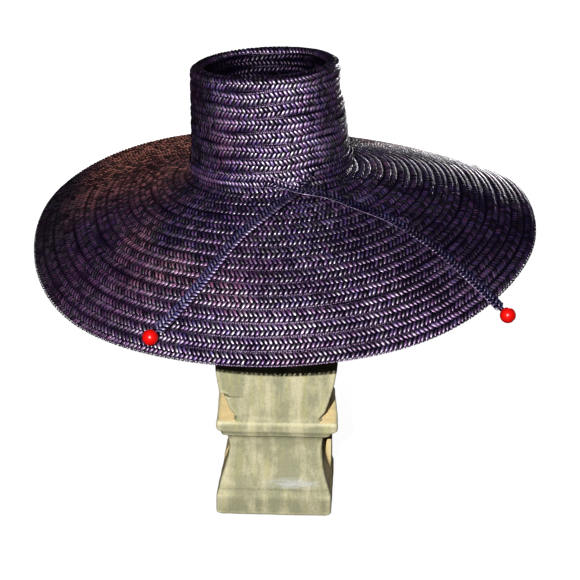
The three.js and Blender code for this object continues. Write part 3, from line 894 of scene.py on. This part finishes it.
def mix(tree, factor, a, b, blend="MIX"):
    """A blend of two colours, each an output or three plain numbers."""
    made = node(tree, "ShaderNodeMix", data_type="RGBA", blend_type=blend)
    feed(tree, made.inputs[0], factor)
    for socket, colour in ((made.inputs[6], a), (made.inputs[7], b)):
        feed(tree, socket, colour if isinstance(colour, bpy.types.NodeSocket) else (*colour, 1))
    return made.outputs[2]


def times(share, colour):
    return tuple(share * part for part in colour)


def grain_group():
    """Fine noise at a given size, as a mask and as a height."""
    group = new_group(
        "Fine grain", [("Vector", "NodeSocketVector", None), ("Scale", "NodeSocketFloat", 400.0),
                       ("Contrast", "NodeSocketFloat", 1.0)],
        [("Mask", "NodeSocketFloat"), ("Height", "NodeSocketFloat")])
    given, result = group.nodes["Group Input"].outputs, group.nodes["Group Output"].inputs
    fine = noise(group, given["Vector"], given["Scale"], 5.0, 0.6)
    centred = reckon(group, "SUBTRACT", fine, 0.5)
    scaled = reckon(group, "MULTIPLY", centred, given["Contrast"])
    feed(group, result["Mask"], reckon(group, "ADD", scaled, 0.5, use_clamp=True))
    feed(group, result["Height"], fine)
    return group


def grained(tree, grain, place, scale, contrast=1.0):
    """The fine grain, placed in a material: its mask and its height."""
    made = node(
        tree, "ShaderNodeGroup", {"Vector": place, "Scale": scale, "Contrast": contrast}, node_tree=grain)
    return made.outputs["Mask"], made.outputs["Height"]


def principled(name, **values):
    """A material with its shader's plain sockets set, and the place that its patterns read."""
    material = bpy.data.materials.new(name)
    material.use_nodes = True
    tree = material.node_tree
    shader = tree.nodes["Principled BSDF"].inputs
    for label, value in values.items():
        shader[label.replace("_", " ")].default_value = value
    return material, tree, shader, node(tree, "ShaderNodeTexCoord").outputs["Object"]


def bump_to(tree, shader, height, strength, distance):
    made = node(tree, "ShaderNodeBump", {"Height": height, "Strength": strength, "Distance": distance})
    feed(tree, shader["Normal"], made.outputs["Normal"])


# Where the straw's finish changes, in metres: its far left edge, darkened as painted shade, behind, at the
# right, darkened as painted shade and duller, and on the crown, whose flanks are darkened as painted shade
FAR_LEFT = (-0.232, -0.192)
BEHIND = (0.0, 0.22)
PAINTED_SHADE_RIGHT, DULL_RIGHT = (0.05, 0.2), (0.08, 0.21)
CROWN_FOOT, CROWN_WALL, CROWN_RIM = (0.375, 0.39), (0.378, 0.392), (0.465, 0.472)
CROWN_MIDDLE, CROWN_FLANK = -0.004, (0.045, 0.076)


def stroke_values(tree):
    """Tone and gloss of the strokes, each falling away towards a stroke's long edges; the falling tone is
    painted shade between the strokes.
    """
    aside, tone, gloss = (
        node(tree, "ShaderNodeAttribute", attribute_name=name).outputs["Fac"]
        for name in ("straw_aside", "straw_tone_and_shade", "straw_gloss"))
    crest = step(tree, reckon(tree, "ABSOLUTE", aside), 0.3, 0.9, 1.0, 0.0)
    return product(tree, tone, crest), product(tree, gloss, crest)


def straw_dye(tree, place, at, tone, patches, colours):
    """Dye from deep to violet by the strokes' tone, rosier to the left, with small patches of other hues."""
    deep, blue, violet, rose = colours
    own = ramp(tree, product(tree, patches, tone), [(0.03, deep), (0.18, blue), (0.42, violet)])
    batch = noise(tree, place, 110.0, 4.0, 0.8)
    hue = ramp(tree, batch, [(0.38, (0.55, 0.95, 1.0)), (0.5, (0.95, 0.9, 0.9)), (0.62, (1.0, 0.62, 0.55))])
    leftward = reckon(tree, "MULTIPLY_ADD", at["X"], -1.0, noise(tree, place, 13.0, 4.0, 0.7))
    rosy = product(tree, ramp(tree, leftward, [(0.52, 0), (0.70, 0.9)]), tone)
    return mix(tree, rosy, mix(tree, 1.0, own, hue, "MULTIPLY"), rose)


def brown_share(tree, place, at, from_edge):
    """Where the dye has faded to brown: on the brim, behind and to the left, short of its far left edge."""
    rear = reckon(tree, "MULTIPLY_ADD", at["Y"], 0.85, product(tree, at["X"], -0.5))
    faded = reckon(tree, "ADD", noise(tree, place, 6.0, 3.0), step(tree, rear, *BEHIND, 0.0, 0.6))
    below_crown = step(tree, at["Z"], *CROWN_FOOT, 1.0, 0.0)
    return product(tree, ramp(tree, faded, [(0.60, 0), (0.95, 0.95)]), product(tree, from_edge, below_crown))


def painted_crown_shade(tree, at):
    """Painted shade on the crown's two flanks, where the light falls away round the crown; it also darkens
    the crown's rim, and leaves the brim alone.
    """
    off_middle = reckon(tree, "ABSOLUTE", reckon(tree, "SUBTRACT", at["X"], CROWN_MIDDLE))
    flank = step(tree, off_middle, *CROWN_FLANK, 1.0, 0.5)
    on_wall = step(tree, at["Z"], *CROWN_WALL)
    wall = node(tree, "ShaderNodeMix", {"Factor": on_wall, "A": 1.0, "B": flank}).outputs[0]
    return product(tree, wall, step(tree, at["Z"], *CROWN_RIM, 1.0, 0.35))


def straw_finish(looks, grain, name="Dyed straw", level=0.35, light=None, shade=1.0):
    """Glossy dyed straw: strokes of uneven tone and gloss, brown behind, dull at the far right, and darker
    there, at the far left edge and on the crown's flanks as painted shade.
    """
    light = light or (looks.straw_violet, looks.straw_rose, looks.straw_brown)
    *colours, brown = (times(shade, colour) for colour in (looks.straw_deep, looks.straw_blue, *light))
    material, tree, shader, place = principled(
        name, IOR=1.7, Specular_IOR_Level=level, Specular_Tint=(0.9, 0.6, 0.95, 1.0),
        Coat_Roughness=0.50, Coat_IOR=2.25)
    at = node(tree, "ShaderNodeSeparateXYZ", {0: place}).outputs
    tone, gloss = stroke_values(tree)
    patches = noise(tree, place, 24.0, 3.0)
    dyed = straw_dye(tree, place, at, tone, patches, colours)
    from_edge = step(tree, at["X"], *FAR_LEFT)
    browns = ramp(tree, tone, [(0.1, times(0.08, brown)), (0.4, brown), (0.9, times(2.2, brown))])
    faded = mix(tree, brown_share(tree, place, at, from_edge), dyed, browns)
    crown = painted_crown_shade(tree, at)
    # Painted shade, darker at the far left edge where the brim turns down, on the crown's flanks, and towards
    # the far right away from the light; the crown's rim is darker too
    rightward = reckon(tree, "MULTIPLY_ADD", at["Y"], -0.4, at["X"])
    painted_shade = product(
        tree, step(tree, from_edge, 0.0, 1.0, 0.3), crown, step(tree, rightward, *PAINTED_SHADE_RIGHT, 1.0, 0.55))
    feed(tree, shader["Base Color"], mix(tree, 1.0, faded, painted_shade, "MULTIPLY"))
    fibres, relief = grained(tree, grain, place, 900.0)
    flecks = grained(tree, grain, place, 300.0, 3.0)[0]
    feed(tree, shader["Roughness"], step(tree, fibres, 0.0, 1.0, 0.48, 0.30))
    kept = product(
        tree, step(tree, rightward, *DULL_RIGHT, 1.1, 0.35), step(tree, patches, 0.35, 0.62, 0.45, 1.35),
        crown, step(tree, flecks, 0.0, 1.0, 0.4, 1.6))
    feed(tree, shader["Coat Weight"], reckon(tree, "MULTIPLY", kept, gloss, use_clamp=True))
    bump_to(tree, shader, relief, 0.25, 0.0004)
    return material


def tip_finish(looks, grain):
    """The same straw, matt, and with its colours darkened to 0.22 as painted shade, where the tip lies sunk
    behind the rim.
    """
    return straw_finish(looks, grain, "Matt dyed straw", 0.1, (looks.straw_violet,) * 3, 0.22)


def strip_finish(looks, grain):
    """The greyer, bluer straw of the ties."""
    return straw_finish(looks, grain, "Dyed strip", 0.35, (looks.strip_blue,) * 3)


def plain_grain(tree, shader, grain, place, scale, colour, dark, bump):
    """One colour, darker in the hollows of its fine grain, with the grain's relief. Gives its mask."""
    mask, height = grained(tree, grain, place, scale)
    feed(tree, shader["Base Color"], mix(tree, mask, times(dark, colour), colour))
    bump_to(tree, shader, height, *bump)
    return mask


def ground_finish(looks, grain):
    """Matt, nearly black straw deep between the strokes: the deeper straw, kept this dark and matt as painted
    shade in the gaps.
    """
    material, tree, shader, place = principled("Straw ground", Specular_IOR_Level=0.05, Roughness=0.95)
    plain_grain(tree, shader, grain, place, 600.0, looks.straw_deep, 0.3, (0.4, 0.0004))
    return material


def bead_finish(looks, grain):
    """Glossy red bead with very faint ripples under its gloss."""
    material, tree, shader, place = principled(
        "Red bead", Roughness=0.34, Coat_Weight=0.10, Coat_Roughness=0.24, Specular_IOR_Level=0.14)
    plain_grain(tree, shader, grain, place, 180.0, looks.bead_red, 0.72, (0.08, 0.0003))
    return material


def wood_finish(looks, grain):
    """Plain turned wood of the hidden post."""
    material, tree, shader, place = principled("Post wood", Specular_IOR_Level=0.35)
    tall = node(tree, "ShaderNodeMapping", {"Vector": place, "Scale": (1.0, 1.0, 0.06)}).outputs[0]
    mask = plain_grain(tree, shader, grain, tall, 260.0, looks.post_wood, 0.55, (0.3, 0.0005))
    feed(tree, shader["Roughness"], step(tree, mask, 0.0, 1.0, 0.5, 0.75))
    return material


# Tone and relief of the plinth's top edge and groove, by height in mm, and the height that they reach to. The
# darker tones are painted shade in the groove and just under the top edge
PLINTH_SHADE_TONES = [(19.5, 0.89), (21.5, 1), (25, 1), (27.25, 0.95), (28.75, 0.80), (30.25, 0.95), (35, 1)]
PLINTH_RELIEF = [(20, 0), (21.5, 1), (25, 0.9), (28, 0.3), (28.75, 0.1), (30, 0.5), (33, 0.6)]
PLINTH_SPAN = 0.05

# Where the stone's finish changes, in metres: its bare flanks, its paler tan, its scuffs and its crack.
# It is bare and tan on level faces as well, from the share that they point upwards, which is painted light on
# the tops
BARE_FROM, TAN_FROM = (-0.041, -0.028), (0.088, 0.1)
LIT_LEVEL_FROM = (0.88, 0.98)
SCUFF_PLACE = {"Location": (-0.38, 0.0, -3.35), "Scale": (20.0, 0.0, 93.0)}
CRACK_LINE = {"slope": 0.03, "height": 0.1325, "width": (0.0003, 0.0011), "reach": (-0.05, -0.026)}


def by_height(stops):
    return [(height * MM / PLINTH_SPAN, value) for height, value in stops]


def stone_front(tree, place, looks, stain, tall):
    """Cream stone with green-grey stains, ochre clouds and pale scuffs low on the waist."""
    stained = mix(tree, ramp(tree, stain, [(0.63, 0), (0.80, 1)]), looks.stone_cream, looks.stone_green)
    cloud = noise(tree, tall, 95.0, 5.0, 0.7)
    tinted = mix(tree, ramp(tree, cloud, [(0.52, 0), (0.66, 0.55)]), stained, looks.stone_ochre)
    near = node(tree, "ShaderNodeMapping", {"Vector": place, **SCUFF_PLACE}).outputs[0]
    reach = node(tree, "ShaderNodeTexGradient", {"Vector": near}, gradient_type="SPHERICAL").outputs["Fac"]
    scuffed = ramp(tree, product(tree, reach, noise(tree, near, 4.0, 6.0)), [(0.16, 0), (0.48, 0.42)])
    return mix(tree, scuffed, tinted, looks.stone_scuff)


def crack_share(tree, at):
    """A thin, nearly level crack that fades out away from the left edge of the bowl."""
    along = reckon(tree, "MULTIPLY_ADD", at["X"], CRACK_LINE["slope"], at["Z"])
    apart = reckon(tree, "ABSOLUTE", reckon(tree, "SUBTRACT", along, CRACK_LINE["height"]))
    line = step(tree, apart, *CRACK_LINE["width"], 1.0, 0.0)
    return product(tree, line, step(tree, at["X"], *CRACK_LINE["reach"], 0.8, 0.0))


def bare_and_lit_share(tree, at, normal):
    """Where the stone is bare and tan: behind its front face, and on its level tops; the tan's brightness
    there is partly painted light on the sides and tops.
    """
    upward = node(tree, "ShaderNodeSeparateXYZ", {0: normal}).outputs["Z"]
    return reckon(tree, "MAXIMUM", step(tree, at["Y"], *BARE_FROM), step(tree, upward, *LIT_LEVEL_FROM))


def stone_finish(looks, grain):
    """Weathered cast stone: stained front, bare tan sides and tops brightened as painted light, edges paler
    from wear and painted highlight, a crack, and a groove on its plinth darkened as painted shade.
    """
    material, tree, shader, place = principled("Cast stone", Specular_IOR_Level=0.25)
    at = node(tree, "ShaderNodeSeparateXYZ", {0: place}).outputs
    surface = node(tree, "ShaderNodeNewGeometry").outputs
    tall = node(tree, "ShaderNodeMapping", {"Vector": place, "Scale": (1.0, 1.0, 0.15)}).outputs[0]
    blotch = noise(tree, place, 50.0, 9.0, 0.7)
    stain = reckon(tree, "MULTIPLY_ADD", blotch, 0.5, noise(tree, tall, 62.0, 6.0, 0.6))
    front = stone_front(tree, place, looks, stain, tall)
    cracked = mix(tree, crack_share(tree, at), front, times(0.3, looks.stone_ochre))
    tan = mix(tree, 1.0, looks.lit_stone_tan, step(tree, at["Z"], *TAN_FROM, 0.6), "MULTIPLY")
    bare = mix(tree, bare_and_lit_share(tree, at, surface["Normal"]), cracked, tan)
    # Paler edges by pointiness: partly rubbed wear, partly painted highlight where the edges catch the light
    worn = ramp(tree, surface["Pointiness"], [(0.506, 0), (0.545, 0.9)])
    body = mix(tree, worn, bare, times(1.35, looks.stone_cream))
    pits = grained(tree, grain, place, 700.0, 1.2)[0]
    speck = ramp(tree, pits, [(0.2, 0.76), (0.6, 1.03)])
    foot = step(tree, at["Z"], 0.0, PLINTH_SPAN)
    # Painted shade in the plinth's groove and just under its top edge
    plinth = ramp(tree, foot, by_height(PLINTH_SHADE_TONES))
    feed(tree, shader["Base Color"], mix(
        tree, 1.0, body, mix(tree, 1.0, speck, plinth, "MULTIPLY"), "MULTIPLY"))
    feed(tree, shader["Roughness"], step(tree, pits, 0.0, 1.0, 0.95, 0.7))
    relief = ramp(tree, foot, by_height(PLINTH_RELIEF))
    bump_to(tree, shader, reckon(tree, "MULTIPLY_ADD", relief, 0.6, stain), 0.5, 0.0012)
    return material


def floor_finish(looks):
    """Matt pale paper that glows towards the camera alone, with the glow dimmed near the stand as a painted
    shadow round its foot.
    """
    material, tree, shader, place = principled(
        "Pale floor", Roughness=0.9, Specular_IOR_Level=0.1, Emission_Strength=1.0)
    feed(tree, shader["Base Color"], (*looks.floor, 1))
    reach = node(tree, "ShaderNodeVectorMath", {0: place}, operation="LENGTH").outputs["Value"]
    seen = node(tree, "ShaderNodeLightPath").outputs["Is Camera Ray"]
    # Painted shadow: the glow falls from full, away from the stand, to 0.8 near it
    feed(tree, shader["Emission Color"], product(tree, step(tree, reach, 0.2, 1.4, 0.8), seen))
    return material


def material_once(name, maker):
    """A material of the scene, made the first time that a piece asks for it."""
    looks = bpy.context.scene.hat_finishes
    grain = bpy.data.node_groups.get("Fine grain") or grain_group()
    return bpy.data.materials.get(name) or maker(looks, grain)


# Operators, one for each group of pieces

def facing(way):
    """The turn that points a light or a camera along a way."""
    return way.to_track_quat("-Z", "Y").to_euler()


class HAT_OT_crown(bpy.types.Operator):
    """Model the crown: rows of plait up its wall, over its rolled rim and across its sunken tip"""
    bl_idname = "hat.crown"
    bl_label = "Crown"

    def execute(self, context):
        sizes = context.scene.hat_sizes
        deselect_all()
        rim_out = float(walk(crown_runs(sizes.row), np.array([CROWN_ROWS * sizes.row]))[0][0])
        tip_row = (sizes.head_across + rim_out) / TIP_ROWS

        def distance_at(toward, rows):
            rows = np.asarray(rows, float) + 0 * np.asarray(toward)
            return np.minimum(rows, CROWN_ROWS) * sizes.row + np.maximum(rows - CROWN_ROWS, 0) * tip_row

        cells = model_cell(), model_cell("Matt dyed straw", tip_finish)
        sew_pieces(sizes, CROWN_PIECES, cells, on_crown, distance_at, CROWN_SEED, crown_ridge)
        for cell in cells:
            remove(cell)
        return {"FINISHED"}


class HAT_OT_brim(bpy.types.Operator):
    """Model the brim: rows of plait from the crown's foot to the outer edge"""
    bl_idname = "hat.brim"
    bl_label = "Brim"

    def execute(self, context):
        sizes = context.scene.hat_sizes
        deselect_all()

        def distance_at(toward, rows):
            return np.asarray(rows) / BRIM_ROWS * round_table("width", toward) * MM

        cell = model_cell()
        cells = [cell] * len(BRIM_PIECES)
        sew_pieces(sizes, BRIM_PIECES, cells, on_brim, distance_at, BRIM_SEED, brim_ridge)
        remove(cell)
        return {"FINISHED"}


class HAT_OT_strips(bpy.types.Operator):
    """Model the plaited band and the two ties that cross at the front"""
    bl_idname = "hat.strips"
    bl_label = "Band and ties"

    def execute(self, context):
        sizes = context.scene.hat_sizes
        deselect_all()
        cell = model_cell("Dyed strip", strip_finish)
        route = Route(sizes, BAND_ROUTE)
        plain = model_cell()
        band = join([plait_strip(sizes, plain, route, BAND_SEED, 0), strip_ground(sizes, route, 0)])
        remove(plain)
        finish_piece(band, "hat_band_plait", "hat_band")
        for tie in TIES:
            route = Route(sizes, tie["route"])
            parts = [
                plait_strip(sizes, cell, route, tie["seed"], TIE_TAPER), tie_end(route),
                edge_cord(sizes, route, tie), strip_ground(sizes, route, STRIP_BEYOND)]
            finish_piece(join(parts), "tie_" + tie["side"] + "_plait", "tie_" + tie["side"])
        remove(cell)
        return {"FINISHED"}


class HAT_OT_beads(bpy.types.Operator):
    """Model the two drilled beads on the ends of the ties"""
    bl_idname = "hat.beads"
    bl_label = "Beads"

    def execute(self, context):
        sizes = context.scene.hat_sizes
        for tie in TIES:
            deselect_all()
            route = Route(sizes, tie["route"])
            bead = model_bead(sizes.bead_radius)
            turn = Vector((0, 0, 1)).rotation_difference(route.forward).to_matrix().to_4x4()
            bead.data.transform(Matrix.Translation(route.end + route.forward * sizes.bead_ahead) @ turn)
            dress(bead, material_once("Red bead", bead_finish))
            finish_piece(bead, "bead_" + tie["side"] + "_drilled", "bead_" + tie["side"])
        return {"FINISHED"}


class HAT_OT_pedestal(bpy.types.Operator):
    """Model the cast stone pedestal with soft, worn edges, a drawn-in slab and the notch of its crack"""
    bl_idname = "hat.pedestal"
    bl_label = "Pedestal"

    def execute(self, context):
        deselect_all()
        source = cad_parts["pedestal"]
        piece = bpy.data.objects.new("pedestal_stone", source.data.copy())
        bpy.context.collection.objects.link(piece)
        mend(piece, merge=True)
        finish_modifier(piece, "REMESH", mode="VOXEL", voxel_size=STONE_GRAIN)
        finish_modifier(piece, "SMOOTH", factor=0.5, iterations=1)
        wear = bpy.data.textures.new("Stone wear", "CLOUDS")
        wear.noise_scale = 0.03
        wear.noise_depth = 3
        finish_modifier(
            piece, "DISPLACE", texture=wear, texture_coords="LOCAL", strength=STONE_WEAR, mid_level=0.5)
        points = coords(piece)
        shift_slab_and_block(points)
        cut_crack(points)
        points[:, 2] = np.maximum(points[:, 2], 0)
        set_coords(piece, points)
        dress(piece, material_once("Cast stone", stone_finish))
        finish_piece(piece, "pedestal_stone", "pedestal")
        return {"FINISHED"}


class HAT_OT_post(bpy.types.Operator):
    """Finish the plain wooden post that carries the hat inside its crown"""
    bl_idname = "hat.post"
    bl_label = "Post"

    def execute(self, context):
        dress(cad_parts["hat_post"], material_once("Post wood", wood_finish))
        return {"FINISHED"}


class HAT_OT_stage(bpy.types.Operator):
    """Set the pale floor, the soft studio lights and the camera"""
    bl_idname = "hat.stage"
    bl_label = "Stage"

    def execute(self, context):
        deselect_all()
        bpy.ops.mesh.primitive_plane_add(size=FLOOR["size"], location=FLOOR["middle"])
        floor = context.active_object
        floor.name = "floor"
        bpy.ops.object.transform_apply(location=True)
        floor.data.materials.append(floor_finish(context.scene.hat_finishes))

        world = bpy.data.worlds.new("Studio")
        world.use_nodes = True
        tree = world.node_tree
        seen = node(tree, "ShaderNodeLightPath").outputs["Is Camera Ray"]
        background = tree.nodes["Background"].inputs
        feed(tree, background["Color"], (1, 1, 1, 1))
        feed(tree, background["Strength"], reckon(tree, "MAXIMUM", seen, STUDIO_GLOW))
        context.scene.world = world
        context.scene.view_settings.view_transform = "Standard"
        context.scene.view_settings.look = "Medium High Contrast"

        for light in LIGHTS:
            data = bpy.data.lights.new(light["name"], "AREA")
            data.shape = "DISK"
            data.size = light["size"]
            data.energy = light["power"]
            lamp = bpy.data.objects.new(light["name"], data)
            lamp.location = light["at"]
            lamp.rotation_euler = facing(Vector(LIGHTS_AIM) - Vector(light["at"]))
            lamp.visible_camera = False
            context.collection.objects.link(lamp)

        turn, down = math.radians(VIEW["turn"]), math.radians(VIEW["down"])
        back = Vector((math.sin(turn) * math.cos(down), -math.cos(turn) * math.cos(down), math.sin(down)))
        data = bpy.data.cameras.new("camera")
        data.sensor_width = SENSOR_MM
        data.lens = SENSOR_MM * VIEW["lens_pixels"] / PHOTO_PIXELS
        camera = bpy.data.objects.new("camera", data)
        camera.location = Vector(VIEW["target"]) + back * VIEW["distance"]
        camera.rotation_euler = facing(-back)
        context.collection.objects.link(camera)
        context.scene.camera = camera
        return {"FINISHED"}


class HAT_PT_pieces(bpy.types.Panel):
    """Lists the operators that model the hat and its stand"""
    bl_idname = "HAT_PT_pieces"
    bl_label = "Straw hat"
    bl_space_type = "VIEW_3D"
    bl_region_type = "UI"
    bl_category = "Straw hat"

    def draw(self, context):
        for operator in PIECES:
            self.layout.operator(operator.bl_idname)
        for group in (context.scene.hat_sizes, context.scene.hat_finishes):
            box = self.layout.box()
            for name in group.__annotations__:
                box.prop(group, name)


PIECES = (HAT_OT_crown, HAT_OT_brim, HAT_OT_strips, HAT_OT_beads, HAT_OT_pedestal, HAT_OT_post, HAT_OT_stage)
CLASSES = (HatSizes, Finishes, *PIECES, HAT_PT_pieces)


def register():
    for item in CLASSES:
        bpy.utils.register_class(item)
    bpy.types.Scene.hat_sizes = bpy.props.PointerProperty(type=HatSizes)
    bpy.types.Scene.hat_finishes = bpy.props.PointerProperty(type=Finishes)


def unregister():
    del bpy.types.Scene.hat_finishes
    del bpy.types.Scene.hat_sizes
    for item in reversed(CLASSES):
        bpy.utils.unregister_class(item)


def main():
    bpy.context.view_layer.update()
    register()
    bpy.ops.hat.crown()
    bpy.ops.hat.brim()
    bpy.ops.hat.strips()
    bpy.ops.hat.beads()
    bpy.ops.hat.pedestal()
    bpy.ops.hat.post()
    bpy.ops.hat.stage()


if __name__ == "__main__":
    main()
